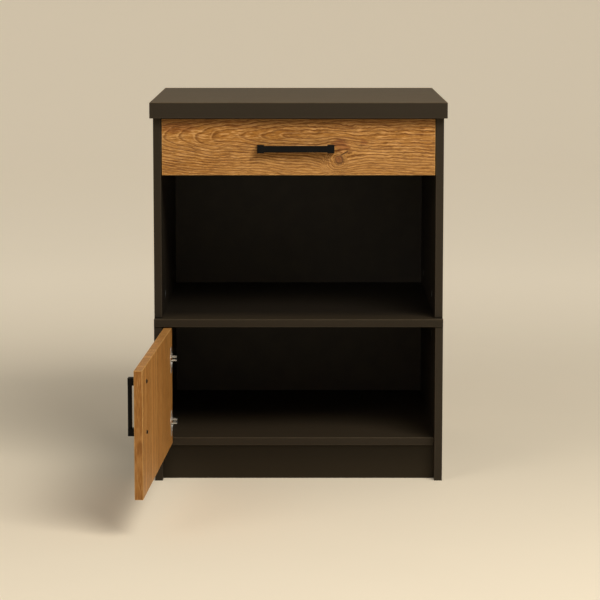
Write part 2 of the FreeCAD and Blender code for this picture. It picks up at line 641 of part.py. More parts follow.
def hinge_arm(name):
    """The arm: an eye on the pin, a neck that clears the door's edge, and a channel over its plate.

    Its origin is the pin's axis; the side panel is towards -X.
    """
    body = new_body(f"{name}_blank")
    neck = [("0", "-1.6"), ("19", "-1.6"), ("19", "14.5"), ("-1.5", "14.5"), ("-1.5", ARM_END),
            ("-3.5", ARM_END), ("-3.5", "12.5"), ("17", "12.5"), ("17", "0.4"), ("0", "0.4")]
    extrude(body, "Pad", outline(body, "XY_Plane", f"{name}_neck", neck), TONGUE, midplane=True)
    inside_bends = {(17, 12.5), (17, 0.4), (19, -1.6), (19, 14.5)}
    soften(body, "1.2", lambda edge: abs(edge.Length - 9) < 1e-3 and any(
        abs(edge.CenterOfMass.x - x) + abs(edge.CenterOfMass.y - y) < 1e-3 for x, y in inside_bends))
    eye = circles(body, "XY_Plane", f"{name}_eye", [("0", "0")], "2.2")
    extrude(body, "Pad", eye, TONGUE, midplane=True)
    channel_block = rectangle("-8.3", "16", "-1.5", ARM_END)
    extrude(body, "Pad", outline(body, "XY_Plane", f"{name}_channel", channel_block), "15.6", midplane=True)
    hollow = rectangle("-8.4", "15.9", "-3.5", f"{ARM_END} + 0.1")
    extrude(body, "Pocket", outline(body, "XY_Plane", f"{name}_hollow", hollow), "12.6", midplane=True)
    hole = circles(body, "XY_Plane", f"{name}_pin_hole", [("0", "0")], "pin_radius + running_fit")
    extrude(body, "Pocket", hole, "20", midplane=True)
    return body


def hinge_plate(name):
    """The plate that is screwed to the side panel: two wings and the ridge that carries the arm."""
    body = new_body(f"{name}_blank")
    wings = rectangle("-pivot_in", "39", "-pivot_in + 1.5", "53")
    extrude(body, "Pad", outline(body, "XY_Plane", f"{name}_wings", wings), "44", midplane=True)
    soften(body, "5", lambda edge: abs(edge.Length - 1.5) < 1e-3)
    ridge = rectangle("-pivot_in", "26", "-3.55", "62")
    extrude(body, "Pad", outline(body, "XY_Plane", f"{name}_ridge", ridge), "11", midplane=True)
    return body


def hinge_cabinet_parts():
    """The parts of the hinges that stay on the side panel."""
    plate_screw = [(0, 1.6), (2.8, 1.6), (4, 0.6), (4, 0), (2.9, 0), (2.9, -13), (0, -13)]
    Fasteners("plate_screws", plate_screw,
              [(at(f"-{INNER} + 1.5", f"{PIVOT_Y} + 46", f"{height} + {step}"), RIGHT)
               for height in HINGE_HEIGHTS.values() for step in (-16, 16)])
    arm_screw = [(0, 1.8), (3.2, 1.8), (3.8, 1), (3.8, 0), (2.4, 0), (2.4, -6.4), (0, -6.4)]
    Fasteners("arm_screws", arm_screw,
              [(at(f"{PIVOT_X} - 1.5", f"{PIVOT_Y} + {y}", height), RIGHT)
               for height in HINGE_HEIGHTS.values() for y in (32, 54)])
    for name, height in HINGE_HEIGHTS.items():
        for label, make in ((f"hinge_arm_{name}", hinge_arm), (f"hinge_plate_{name}", hinge_plate)):
            blank = make(label)
            put(blank, PIVOT_X, PIVOT_Y, height)
            fitted(label, blank)


# ---------------------------------------------------------------- the stand

def export():
    """Checks every object, then writes one STEP file for each finished piece."""
    doc.recompute()
    for item in doc.Objects:
        if {"Invalid", "Error"} & set(item.State):
            raise RuntimeError(f"{item.Name} is {item.State}")
    for piece in finished:
        if piece.Shape.isNull() or not piece.Shape.isValid() or not piece.Shape.Solids:
            raise RuntimeError(f"{piece.Label} has no valid shape")
        piece.Shape.exportStep(f"parts/{piece.Label}.step")
    print(len(finished), "pieces,", sum(len(piece.Shape.Solids) for piece in finished), "solids")


cam_rooms = carcass_fasteners()
hinge_cabinet_parts()
runners()
drawer()
door()
carcass(cam_rooms)
export()
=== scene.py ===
"""Finishes, small fittings and studio stage for a microwave stand with a drawer.

Everything is in metres in the part's own frame: +X right, +Y to the back, +Z up from the floor.
Patterns are written in millimetres, because that is how a maker would measure them.
"""

import math
from functools import reduce

import bmesh
import bpy
from bpy.props import FloatProperty, FloatVectorProperty, IntProperty, PointerProperty
from mathutils import Matrix, Vector


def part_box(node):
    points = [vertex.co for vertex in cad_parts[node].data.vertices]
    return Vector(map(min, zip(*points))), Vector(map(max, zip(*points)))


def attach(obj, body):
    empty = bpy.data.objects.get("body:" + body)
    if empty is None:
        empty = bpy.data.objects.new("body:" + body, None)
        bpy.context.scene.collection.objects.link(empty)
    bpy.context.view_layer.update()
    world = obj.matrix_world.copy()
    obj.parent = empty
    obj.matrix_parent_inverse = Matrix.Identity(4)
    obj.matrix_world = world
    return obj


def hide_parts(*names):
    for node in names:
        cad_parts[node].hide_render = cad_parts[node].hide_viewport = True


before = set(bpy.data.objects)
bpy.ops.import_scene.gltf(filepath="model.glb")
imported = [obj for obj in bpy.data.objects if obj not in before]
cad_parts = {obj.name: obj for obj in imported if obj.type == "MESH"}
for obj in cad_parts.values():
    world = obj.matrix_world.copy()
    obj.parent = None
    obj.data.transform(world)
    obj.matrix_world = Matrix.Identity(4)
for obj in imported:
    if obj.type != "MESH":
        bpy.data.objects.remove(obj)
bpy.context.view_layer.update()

bl_info = {
    "name": "Microwave Stand",
    "version": (1, 0, 0),
    "blender": (4, 5, 0),
    "location": "3D View > Sidebar > Stand",
    "description": "Finishes a microwave stand with a drawer and a hinged door, and lights it",
    "category": "Object",
}

MM_PER_METRE = 1000
MM = 1 / MM_PER_METRE
RIGHT = Vector((1, 0, 0))
BACKWARD = Vector((0, 1, 0))

# Corners closer than this, in metres, are one corner. Edges bent by more than the angle stay sharp.
MERGE_DISTANCE = 1e-6
SHARP_ANGLE = math.radians(32)

# The door is drawn open. Its pattern and its screws are laid out as if it were shut.
DOOR_OPEN = math.radians(92.7)
DOOR_PIVOT = Vector((-267.7, -28.2, 0)) * MM
DOOR_SHUT_LOW = (-275.5, -35, 76)
DOOR_SHUT_HIGH = (275.5, -19, 316)

# Each board's grain, and how light its sheet of melamine is beside the others: painted shade and light, with
# the left sides and the shelf darker and the right sides lighter, after how the light falls on them.
MELAMINE_BOARDS = {
    "worktop": ("X", 1.0), "microwave_shelf": ("X", 0.80), "drawer_divider": ("X", 0.9),
    "bottom_panel": ("X", 0.92), "plinth_board": ("X", 1.0),
    "upper_side_left": ("Z", 0.80), "upper_side_right": ("Z", 1.08),
    "lower_side_left": ("Z", 0.84), "lower_side_right": ("Z", 1.02),
}
# How far back from its front edge the microwave shelf's top carries painted light, paler than further in.
SHELF_LIT_DEPTH = 130
# How strongly the boards and the oak shine, and in what colour.
MELAMINE_SHEEN = {"Specular_IOR_Level": 0.27, "Specular_Tint": (1.0, 0.83, 0.60, 1.0)}
OAK_SHEEN = {"Specular_IOR_Level": 0.28, "Specular_Tint": (1.0, 0.89, 0.80, 1.0)}

# The drawer box's boards and the way through each.
BOX_BOARDS = {
    "drawer_box_front": "Y", "drawer_box_back": "Y", "drawer_side_left": "X", "drawer_side_right": "X",
}
PLY_THICKNESS = 12
PLY_LAYERS = 4

# The drawer front's figure, in millimetres across from the middle and up from the floor.
DRAWER_FACE = -17
ARCH_TIP = -12
ARCH_HEIGHT = 704
KNOT = (81.5, 657.7)
KNOT_SPLIT = (92.5, 670.5)
KNOT_SWELLING = (85, 670)
# Each stain's middle, its half width and height, and its strength.
STAINS = ((87, 685, 17, 14, 0.88), (131, 694, 8, 8, 0.70), (-244, 722, 32, 9, 0.60))
# Each pale streak of the door: its middle across and its half width.
DOOR_STREAKS = ((221, 8), (112, 12), (64, 7), (27, 6))
# How far apart the rings are on each front and in the knot.
DRAWER_RING = 5.9
KNOT_RING = 5.0
DOOR_RING = 9.5

# A screw that comes out with fewer faces than this has lost its head or its shank.
FACES_PER_SCREW = 40

LAMP_SPREAD = math.radians(120)


def srgb(red, green, blue):
    """A colour given as the 0 to 255 values of a paint chart, in linear light."""
    return tuple((c / 255 / 12.92) if c <= 10.3 else ((c / 255 + 0.055) / 1.055) ** 2.4
                 for c in (red, green, blue))


def shaded(colour, share):
    """A plain colour made darker or lighter by a share."""
    return tuple(c * share for c in colour)


# ---- node trees written as formulas

class Socket:
    """One output of a node, which can stand in a sum."""

    def __init__(self, sheet, socket):
        self.sheet = sheet
        self.socket = socket

    def out(self, name):
        """Another output of the same node."""
        return Socket(self.sheet, self.socket.node.outputs[name])

    def __add__(self, other):
        return self.sheet.math("ADD", self, other)

    def __radd__(self, other):
        return self.sheet.math("ADD", other, self)

    def __sub__(self, other):
        return self.sheet.math("SUBTRACT", self, other)

    def __rsub__(self, other):
        return self.sheet.math("SUBTRACT", other, self)

    def __mul__(self, other):
        return self.sheet.math("MULTIPLY", self, other)

    def __rmul__(self, other):
        return self.sheet.math("MULTIPLY", other, self)

    def __truediv__(self, other):
        return self.sheet.math("DIVIDE", self, other)

    def __rtruediv__(self, other):
        return self.sheet.math("DIVIDE", other, self)

    def __pow__(self, other):
        return self.sheet.math("POWER", self, other)

    def __neg__(self):
        return self.sheet.math("MULTIPLY", self, -1)

    def __abs__(self):
        return self.sheet.math("ABSOLUTE", self)


class Sheet:
    """A node tree that is written as formulas."""

    def __init__(self, tree):
        self.tree = tree

    def add(self, kind, values=None, out=0, **settings):
        """A new node with its settings, then the values or links of its sockets; returns an output."""
        node = self.tree.nodes.new(kind)
        for name, value in settings.items():
            setattr(node, name, value)
        for key, value in (values or {}).items():
            for item in value if isinstance(value, list) else [value]:
                if isinstance(item, Socket):
                    self.tree.links.new(item.socket, node.inputs[key])
                else:
                    node.inputs[key].default_value = item
        return Socket(self, node.outputs[out])

    def math(self, operation, *values):
        return self.add("ShaderNodeMath", dict(enumerate(values)), operation=operation)

    def least(self, *values):
        return reduce(lambda a, b: self.math("MINIMUM", a, b), values)

    def most(self, *values):
        return reduce(lambda a, b: self.math("MAXIMUM", a, b), values)

    def length(self, a, b):
        """How long a line is that goes a one way and b squarely to it."""
        return self.math("SQRT", a * a + b * b)

    def fraction(self, value):
        return self.math("FRACT", value)

    def fade(self, value, start, end, low=0.0, high=1.0):
        """Goes smoothly from low to high as the value goes from start to end."""
        return self.add("ShaderNodeMapRange", {0: value, 1: start, 2: end, 3: low, 4: high},
                        interpolation_type="SMOOTHSTEP")

    def between(self, factor, a, b):
        """A number between a and b."""
        return self.add("ShaderNodeMix", {0: factor, 2: a, 3: b}, data_type="FLOAT")

    def vector(self, x, y, z):
        return self.add("ShaderNodeCombineXYZ", {0: x, 1: y, 2: z})

    def noise(self, vector, scale=1.0, detail=2.0, rough=0.5):
        """Cloudy noise from 0 to 1 at a place in millimetres; scale is in waves per millimetre."""
        return self.add("ShaderNodeTexNoise", {"Vector": vector, "Scale": scale, "Detail": detail,
                                               "Roughness": rough})

    def streaks(self, axes, lengthways, crossways, detail=2.0, rough=0.5):
        """Noise drawn out along the first of three axes; both scales are in waves per millimetre."""
        along, across, through = axes
        return self.noise(self.vector(along * lengthways, across * crossways, through * crossways),
                          1.0, detail, rough)


class Finish(Sheet):
    """A surface finish: a material whose pattern is laid out in millimetres on the piece."""

    def __init__(self, name):
        self.material = bpy.data.materials.new(name)
        self.material.use_nodes = True
        super().__init__(self.material.node_tree)
        self.tree.nodes.clear()
        here = self.add("ShaderNodeTexCoord", out="Object")
        self.place = self.add("ShaderNodeMapping", {"Vector": here, "Scale": (MM_PER_METRE,) * 3})
        self.split_place()

    def split_place(self):
        self.x = self.add("ShaderNodeSeparateXYZ", {0: self.place})
        self.y = self.x.out("Y")
        self.z = self.x.out("Z")

    def turn_about(self, pivot, angle):
        """Lays the pattern out on a piece that has been turned about an upright axis."""
        back = Matrix.Rotation(angle, 4, "Z")
        offset = pivot - back @ pivot
        self.place = self.add("ShaderNodeMapping", {"Vector": self.place, "Rotation": (0, 0, angle),
                                                    "Location": offset * MM_PER_METRE})
        self.split_place()

    def mix(self, factor, a, b, blend="MIX"):
        """A colour between a and b."""
        a, b = (value if isinstance(value, Socket) else (*value, 1) for value in (a, b))
        return self.add("ShaderNodeMix", {0: factor, 6: a, 7: b}, out=2, data_type="RGBA", blend_type=blend)

    def scaled(self, colour, share):
        """A colour made darker or lighter by a share, where either may change over the surface."""
        if isinstance(colour, Socket) or isinstance(share, Socket):
            return self.add("ShaderNodeVectorMath", {0: colour, "Scale": share}, operation="SCALE")
        return shaded(colour, share)

    def edges(self, low, high, width):
        """1 along the edges of a box with these corners, fading out over the width."""
        gaps = [self.least(axis - a, b - axis)
                for axis, a, b in zip((self.x, self.y, self.z), low, high)]
        two_smallest = gaps[0] + gaps[1] + gaps[2] - self.most(*gaps)
        return self.fade(two_smallest, width * 0.35, width, 1.0, 0.0)

    def surface(self, colour, roughness, height=None, depth=0.05, **fixed):
        """Ends the material. The height from 0 to 1 stands for a relief that deep in millimetres."""
        values = {"Base Color": colour if isinstance(colour, Socket) else (*colour, 1),
                  "Roughness": roughness}
        values.update({name.replace("_", " "): value for name, value in fixed.items()})
        if height is not None:
            values["Normal"] = self.add("ShaderNodeBump", {"Height": height, "Distance": depth * MM,
                                                           "Strength": 1.0})
        shader = self.add("ShaderNodeBsdfPrincipled", values)
        output = self.tree.nodes.new("ShaderNodeOutputMaterial")
        self.tree.links.new(shader.socket, output.inputs["Surface"])
        return self.material


def wear(material, *nodes):
    """Gives the nodes of the part this material."""
    for node in nodes:
        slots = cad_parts[node].material_slots
        if not slots:
            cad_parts[node].data.materials.append(material)
        for slot in slots:
            slot.material = material


def link_object(name, data):
    """A new object with this data, in the scene."""
    item = bpy.data.objects.new(name, data)
    bpy.context.scene.collection.objects.link(item)
    return item


def applied(holder):
    """The plain mesh that an object's modifiers make of it. The object itself is removed."""
    view = bpy.context.evaluated_depsgraph_get()
    mesh = bpy.data.meshes.new_from_object(holder.evaluated_get(view))
    bpy.data.objects.remove(holder)
    return mesh


def merged(node):
    """A copy of a node's loose triangles, joined at their corners."""
    solid = bmesh.new()
    solid.from_mesh(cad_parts[node].data)
    bmesh.ops.remove_doubles(solid, verts=solid.verts, dist=MERGE_DISTANCE)
    return solid


def stand_in(name, mesh, body, node):
    """Puts a finished mesh in place of a node of the part, where it moves with a body."""
    mesh.name = name
    mesh.shade_smooth()
    mesh.set_sharp_from_angle(angle=SHARP_ANGLE)
    piece = link_object(name, mesh)
    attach(piece, body)
    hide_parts(node)


# ---- finishes

def melamine(name, grain, low, high, colour, lit_top_colour=None, joint=None, lit_strip_depth=None, overhang_shadow=False):
    """Dark brown satin melamine: an even fine pebble, faint clouding along the board, pale edges that are
    partly rubbed wear and partly a painted highlight.

    A board may have its own paler colour on its top side, a painted light where the lamps above fall on it,
    which goes only as far back as its lit strip reaches, and a thin shadow at the height of a joint. One with
    a painted overhang shadow is darkened towards its top, where the board above shades it, and keeps its
    plain colour towards the floor.
    """
    finish = Finish(name)
    axes = {"X": (finish.x, finish.y, finish.z), "Z": (finish.z, finish.y, finish.x)}[grain]
    cloud = finish.streaks(axes, 0.004, 0.02, 3.0, 0.55)
    speck = finish.noise(finish.place, 0.55, 4.0, 0.65)
    pebble = finish.streaks(axes, 0.9, 1.6)
    tone = finish.fade(cloud * 0.4 + speck * 0.6, 0.30, 0.70)
    top = 0.0
    # Painted light: the top side takes a paler colour where the lamps above fall on it; on the shelf it
    # covers only the front strip.
    if lit_top_colour:
        top = finish.fade(finish.z, high.z - 0.9, high.z - 0.4)
        if lit_strip_depth:
            top = top * finish.fade(finish.y, low.y, low.y + lit_strip_depth, 1.0, 0.0)
        colour = finish.mix(top, colour, lit_top_colour)
    # Painted shadow: the plinth is darkened towards its top, where the bottom board overhangs and shades it.
    if overhang_shadow:
        colour = finish.scaled(colour, finish.fade(finish.z, high.z - 2, low.z + 4, 0.12, 1.0))
    paint = finish.mix(tone, finish.scaled(colour, 0.88), finish.scaled(colour, 1.12))
    scuffs = finish.streaks(axes, 0.03, 0.4, 3.0, 0.6)
    # Painted highlight along the board's arrises, patchy like rubbed wear.
    edge = finish.edges(low, high, width=2.4)
    patchy = finish.fade(finish.noise(finish.place, 0.05, 3.0), 0.30, 0.60, 0.5, 1.0)
    paint = finish.mix(edge * patchy * 0.6, paint, finish.scaled(colour, 2.2))
    if joint is not None:
        seam = finish.fade(abs(finish.z - joint), 1.4, 2.6, 0.90, 0.0)
        paint = finish.mix(seam, paint, (0.001, 0.001, 0.001))
    roughness = finish.between(scuffs, 0.40, 0.54) - edge * 0.08 + top * 0.08
    return finish.surface(paint, roughness, pebble, 0.02, **MELAMINE_SHEEN)


def oak(finish, along, across, through, rings, colours, deep=1.0, wide=0.46):
    """Brushed oak. The rings run through the wood, so edges and ends match the face.

    Deep is the contrast of the grain, and wide the dark share of a ring.
    Returns its colour, its roughness and its relief, where the soft early wood is brushed away.
    """
    pale, warm, late = colours
    axes = (along, across, through)
    # The palest colour: for pale fibres and for the painted highlight beside each ring.
    light = tuple(min(1, c * more) for c, more in zip(pale, (1.40, 1.56, 2.15)))
    ring = finish.fraction(rings)
    broken = finish.fade(finish.streaks(axes, 0.026, 0.12), 0.30, 0.58, 0.45, 1.0)
    lateness = finish.fade(ring, 0.94 - wide, 0.94) * finish.fade(ring, 0.95, 1.0, 1.0, 0.0) * broken
    # Painted highlight: a pale line just past each dark ring, where light would catch the ridge of the
    # brushed relief.
    start = finish.fade(ring, 0.0, 0.06) * finish.fade(ring, 0.06, wide * 0.8, 1.0, 0.0) * broken
    fibre = finish.streaks(axes, 0.055, 0.50, 2.0, 0.6)
    tone = finish.streaks(axes, 0.0045, 0.028)
    body = finish.mix(finish.fade(tone, 0.28, 0.72), pale, warm)
    body = finish.mix(finish.fade(fibre, 0.52, 0.64, 0.0, 0.80 * deep), body, late)
    body = finish.mix(finish.fade(fibre, 0.46, 0.34, 0.0, 0.80), body, light)
    body = finish.mix(start * 0.45, body, light)
    colour = finish.mix(lateness * 0.92 * deep, body, late)
    pores = finish.streaks(axes, 0.075, 2.1, 1.5)
    pore = finish.fade(pores, 0.60, 0.68) * (1 - lateness * 0.7)
    colour = finish.mix(pore * 0.45, colour, shaded(late, 0.50))
    roughness = finish.between(lateness, 0.50, 0.40) + pore * 0.16
    relief = 0.30 + lateness * 0.35 - pore * 0.22 + (0.5 - fibre) * 1.1
    return colour, roughness, relief


# ---- settings

COLOUR = {"subtype": "COLOR", "min": 0, "max": 1}
LENGTH = {"subtype": "DISTANCE", "unit": "LENGTH"}


class StandFinishes(bpy.types.PropertyGroup):
    """The colours of the stand's finishes."""

    board: FloatVectorProperty(name="Boards", description="Melamine of the carcass boards",
                               default=srgb(37, 32, 26), **COLOUR)
    # Painted light: the worktop's top side is paler than its front because the lamps above light it.
    top: FloatVectorProperty(name="Worktop", description="Laminate on the worktop's top side",
                             default=srgb(71, 57, 37), **COLOUR)
    # Painted light: the shelf tops are paler where light falls on them; on the microwave shelf only its front
    # strip is.
    inner: FloatVectorProperty(name="Shelf tops", description="Melamine that is rubbed by what stands on it",
                               default=srgb(52, 44, 33), **COLOUR)
    # Painted shade: the plinth is darker than the other boards, as the shade of its recess.
    plinth: FloatVectorProperty(name="Plinth", description="Melamine of the plinth board",
                                default=srgb(29, 24, 17), **COLOUR)
    oak_pale: FloatVectorProperty(name="Early wood", description="Palest colour of the oak fronts",
                                  default=srgb(186, 134, 70), **COLOUR)
    oak_warm: FloatVectorProperty(name="Heart wood", description="Middle colour of the oak fronts",
                                  default=srgb(164, 109, 42), **COLOUR)
    oak_late: FloatVectorProperty(name="Late wood", description="Dark lines of the oak fronts",
                                  default=srgb(104, 58, 8), **COLOUR)
    handle: FloatVectorProperty(name="Handles", description="Powder coat of the bar handles",
                                default=srgb(5, 4, 3), **COLOUR)
    nickel: FloatVectorProperty(name="Hinges", description="Nickel plate of the hinges",
                                default=srgb(206, 202, 194), **COLOUR)
    zinc: FloatVectorProperty(name="Runners", description="Zinc plate of runners and screws",
                              default=srgb(188, 191, 192), **COLOUR)


class StandFasteners(bpy.types.PropertyGroup):
    """The sizes that the screw heads share."""

    recess_share: FloatProperty(name="Recess size", description="Cross recess as a share of the head",
                                min=0.2, max=0.9, default=0.62)
    recess_width: FloatProperty(name="Recess arm", description="Width of the cross recess's arms",
                                default=0.0010, **LENGTH)
    recess_depth: FloatProperty(name="Recess depth", description="How deep the cross recess is",
                                default=0.0014, **LENGTH)
    thread_pitch: FloatProperty(name="Thread pitch", description="From one thread to the next",
                                default=0.0016, **LENGTH)
    seed: IntProperty(name="Seed", description="How far each screw happens to be turned", default=7)


class StandHinges(bpy.types.PropertyGroup):
    """The slot that is stamped in each hinge arm's strap."""

    slot_start: FloatProperty(name="Slot start", description="From the arm's left end to the round end",
                              default=0.0118, **LENGTH)
    slot_width: FloatProperty(name="Slot width", description="Height of the slot in the strap",
                              default=0.0054, **LENGTH)
    slot_reach: FloatProperty(name="Slot reach", description="How far back the slot runs through the strap",
                              default=0.0185, **LENGTH)


class StandStage(bpy.types.PropertyGroup):
    """The studio."""

    floor: FloatVectorProperty(name="Floor", description="Colour of the floor and backdrop",
                               default=srgb(236, 223, 199), **COLOUR)
    key: FloatProperty(name="Key lamp", description="Strength of the large lamp above the front",
                       subtype="POWER", default=54)
    fill: FloatProperty(name="Fill lamp", description="Strength of the low lamp on the left",
                        subtype="POWER", default=10)
    sky: FloatProperty(name="Room light", description="Strength of the even light of the room",
                       min=0, default=0.20)
    lens: FloatProperty(name="Lens", description="Focal length of the camera", subtype="DISTANCE_CAMERA",
                        unit="CAMERA", default=149.17)
    distance: FloatProperty(name="Camera distance", description="From the camera to the worktop's front",
                            default=5.0, **LENGTH)
    height: FloatProperty(name="Camera height", description="Of the camera above the floor",
                          default=1.0514, **LENGTH)
    pitch: FloatProperty(name="Camera pitch", description="How far the camera looks down",
                         subtype="ANGLE", unit="ROTATION", default=math.radians(7.715))


# ---- fasteners by geometry nodes

def separate_solids(node):
    """The corners of each separate solid of a node of the part."""
    mesh = merged(node)
    waiting = set(mesh.verts)
    solids = []
    while waiting:
        reached = [waiting.pop()]
        for vertex in reached:
            near = {edge.other_vert(vertex) for edge in vertex.link_edges} & waiting
            waiting -= near
            reached.extend(near)
        solids.append([vertex.co.copy() for vertex in reached])
    mesh.free()
    return solids


def head_places(node, outwards):
    """Where the head of each fastener of a node ends, for heads that face a given way."""
    places = []
    for corners in separate_solids(node):
        top = max(corner.dot(outwards) for corner in corners)
        flat = [corner - outwards * corner.dot(outwards) for corner in corners]
        places.append(sum(flat, Vector()) / len(flat) + outwards * top)
    return places


def turned_bar(sheet, top, bottom, radius, rings, sides):
    """A round bar along Z between two heights, its radius a field of the way down it."""
    line = sheet.add("GeometryNodeCurvePrimitiveLine",
                     {"Start": sheet.vector(0.0, 0.0, top), "End": sheet.vector(0.0, 0.0, bottom)})
    line = sheet.add("GeometryNodeResampleCurve", {"Curve": line, "Count": rings})
    circle = sheet.add("GeometryNodeCurvePrimitiveCircle", {"Resolution": sides, "Radius": 1.0})
    return sheet.add("GeometryNodeCurveToMesh", {"Curve": line, "Profile Curve": circle, "Scale": radius,
                                                 "Fill Caps": True})


def screw_head(sheet, size, way_down):
    """A crowned head with a cross recess, or without one where the recess has no depth."""
    bulge = size("Crown radius") + (size("Head radius") - size("Crown radius")) * way_down ** 0.6
    head = turned_bar(sheet, 0.0, -size("Head height"), bulge, 7, 28)
    # The two arms differ in depth, so that their floors don't lie in one plane when they are cut out.
    arms = [sheet.add("GeometryNodeMeshCube", {"Size": sheet.vector(a, b, size("Recess depth") * depth)})
            for a, b, depth in ((size("Recess size"), size("Recess width"), 2.0),
                                (size("Recess width"), size("Recess size"), 1.8))]
    cut = sheet.add("GeometryNodeMeshBoolean", {"Mesh 1": head, "Mesh 2": arms}, operation="DIFFERENCE")
    plain = sheet.math("LESS_THAN", size("Recess depth"), 0.001 * MM)
    return sheet.add("GeometryNodeSwitch", {0: plain, 1: cut, 2: head}, input_type="GEOMETRY")


def screw_shank(sheet, size, way_down):
    """A shank with a thread turned in it and a point at its end."""
    run = size("Length") - size("Head height")
    groove = sheet.math("PINGPONG", way_down * run / size("Thread pitch"), 0.5) * 2
    point = sheet.fade(way_down * run, run - size("Shank radius") * 3, run, 1.0, 0.12)
    shank = (size("Shank radius") - size("Thread depth") * groove) * point
    return turned_bar(sheet, -size("Head height") * 0.9, -size("Length"), shank, 64, 14)


def screw_tree():
    """Screws or nails with their head tops at the input's points, facing along 'outwards'."""
    tree = bpy.data.node_groups.new("Screws", "GeometryNodeTree")
    tree.interface.new_socket("Places", in_out="INPUT", socket_type="NodeSocketGeometry")
    for label in ("Head radius", "Crown radius", "Head height", "Shank radius", "Length", "Thread pitch",
                  "Thread depth", "Recess size", "Recess width", "Recess depth"):
        tree.interface.new_socket(label, in_out="INPUT", socket_type="NodeSocketFloat")
    tree.interface.new_socket("Seed", in_out="INPUT", socket_type="NodeSocketInt")
    tree.interface.new_socket("Finish", in_out="INPUT", socket_type="NodeSocketMaterial")
    tree.interface.new_socket("Screws", in_out="OUTPUT", socket_type="NodeSocketGeometry")
    sheet = Sheet(tree)
    size = sheet.add("NodeGroupInput").out
    way_down = sheet.add("GeometryNodeSplineParameter", out="Factor")

    head = screw_head(sheet, size, way_down)
    shank = screw_shank(sheet, size, way_down)
    whole = sheet.add("GeometryNodeJoinGeometry", {0: [shank, head]})

    outwards = sheet.add("GeometryNodeInputNamedAttribute", {"Name": "outwards"}, data_type="FLOAT_VECTOR")
    facing = sheet.add("FunctionNodeAlignRotationToVector", {"Vector": outwards}, axis="Z")
    chance = sheet.add("FunctionNodeRandomValue", {2: 0.0, 3: math.pi / 2, "Seed": size("Seed")}, out=1,
                       data_type="FLOAT")
    spin = sheet.add("FunctionNodeAxisAngleToRotation", {"Angle": chance})
    turned = sheet.add("FunctionNodeRotateRotation", {0: facing, 1: spin}, rotation_space="LOCAL")
    placed = sheet.add("GeometryNodeInstanceOnPoints", {"Points": size("Places"), "Instance": whole,
                                                        "Rotation": turned})
    real = sheet.add("GeometryNodeRealizeInstances", {0: placed})
    done = sheet.add("GeometryNodeSetMaterial", {"Geometry": real, "Material": size("Finish")})
    output = tree.nodes.new("NodeGroupOutput")
    tree.links.new(done.socket, output.inputs[0])
    return tree


def screw_points(name, node, ways):
    """An object with a point at the head of each fastener of a node, and the way that the head faces.

    Where there are two ways, each goes to the fasteners on its own side of the middle.
    """
    places = [(place, way) for way in ways for place in head_places(node, way)
              if len(ways) == 1 or place.dot(way) > 0]
    points = bpy.data.meshes.new(f"{name}_places")
    points.from_pydata([place for place, _ in places], [], [])
    attribute = points.attributes.new("outwards", "FLOAT_VECTOR", "POINT")
    for item, (_, way) in zip(attribute.data, places):
        item.vector = way
    return link_object(points.name, points)


def make_screws(name, node, body, ways, material, sizes):
    """Screws in place of one node of the part; sizes are the tree's inputs by name, in millimetres."""
    holder = screw_points(name, node, ways)
    count = len(holder.data.vertices)
    modifier = holder.modifiers.new("Screws", "NODES")
    modifier.node_group = bpy.data.node_groups.get("Screws") or screw_tree()
    shared = bpy.context.scene.stand_fasteners
    sizes = {label: size * MM for label, size in sizes.items()}
    values = {"Thread pitch": shared.thread_pitch, "Recess width": shared.recess_width,
              "Recess depth": shared.recess_depth, "Seed": shared.seed, "Finish": material,
              "Recess size": 2 * sizes["Head radius"] * shared.recess_share, **sizes}
    for item in modifier.node_group.interface.items_tree:
        if item.in_out == "INPUT" and item.name in values:
            modifier[item.identifier] = values[item.name]
    mesh = applied(holder)
    if len(mesh.polygons) < FACES_PER_SCREW * count:
        raise RuntimeError(f"{name} came out with too few faces")
    stand_in(name, mesh, body, node)


# ---- hinge arms

def slot_cutter(low, high):
    """A bar with one round end that cuts the slot in a hinge arm's strap, given the arm's box."""
    settings = bpy.context.scene.stand_hinges
    half = settings.slot_width / 2
    steps, spare = 12, 5 * MM
    start, middle = low.x + settings.slot_start, (low.z + high.z) / 2
    outline = [(high.x + spare, half), (high.x + spare, -half)]
    outline += [(start + half - half * math.sin(a), -half * math.cos(a))
                for a in (math.pi * i / steps for i in range(steps + 1))]
    count = len(outline)
    corners = [(x, y, middle + z) for y in (low.y - spare, low.y + settings.slot_reach) for x, z in outline]
    faces = [tuple(range(count)), tuple(reversed(range(count, 2 * count)))]
    faces += [((i + 1) % count, i, count + i, count + (i + 1) % count) for i in range(count)]
    mesh = bpy.data.meshes.new("slot_cutter")
    mesh.from_pydata(corners, [], faces)
    mesh.validate()
    solid = bmesh.new()
    solid.from_mesh(mesh)
    bmesh.ops.recalc_face_normals(solid, faces=solid.faces)
    solid.to_mesh(mesh)
    solid.free()
    return link_object("slot_cutter", mesh)


def stamp_arm(node, material):
    """The hinge arm with the long slot stamped in its strap, in place of the part's plain one."""
    solid = merged(node)
    plain = bpy.data.meshes.new(f"{node}_plain")
    solid.to_mesh(plain)
    solid.free()
    holder = link_object(plain.name, plain)
    cutter = slot_cutter(*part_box(node))
    cut = holder.modifiers.new("Slot", "BOOLEAN")
    cut.operation = "DIFFERENCE"
    cut.solver = "EXACT"
    cut.object = cutter
    mesh = applied(holder)
    bpy.data.objects.remove(cutter)
    if len(mesh.polygons) <= len(plain.polygons) // 2:
        raise RuntimeError(f"{node} came out with too few faces")
    mesh.materials.clear()
    mesh.materials.append(material)
    stand_in(f"{node}_stamped", mesh, "cabinet", node)


# ---- the stand's own finishes

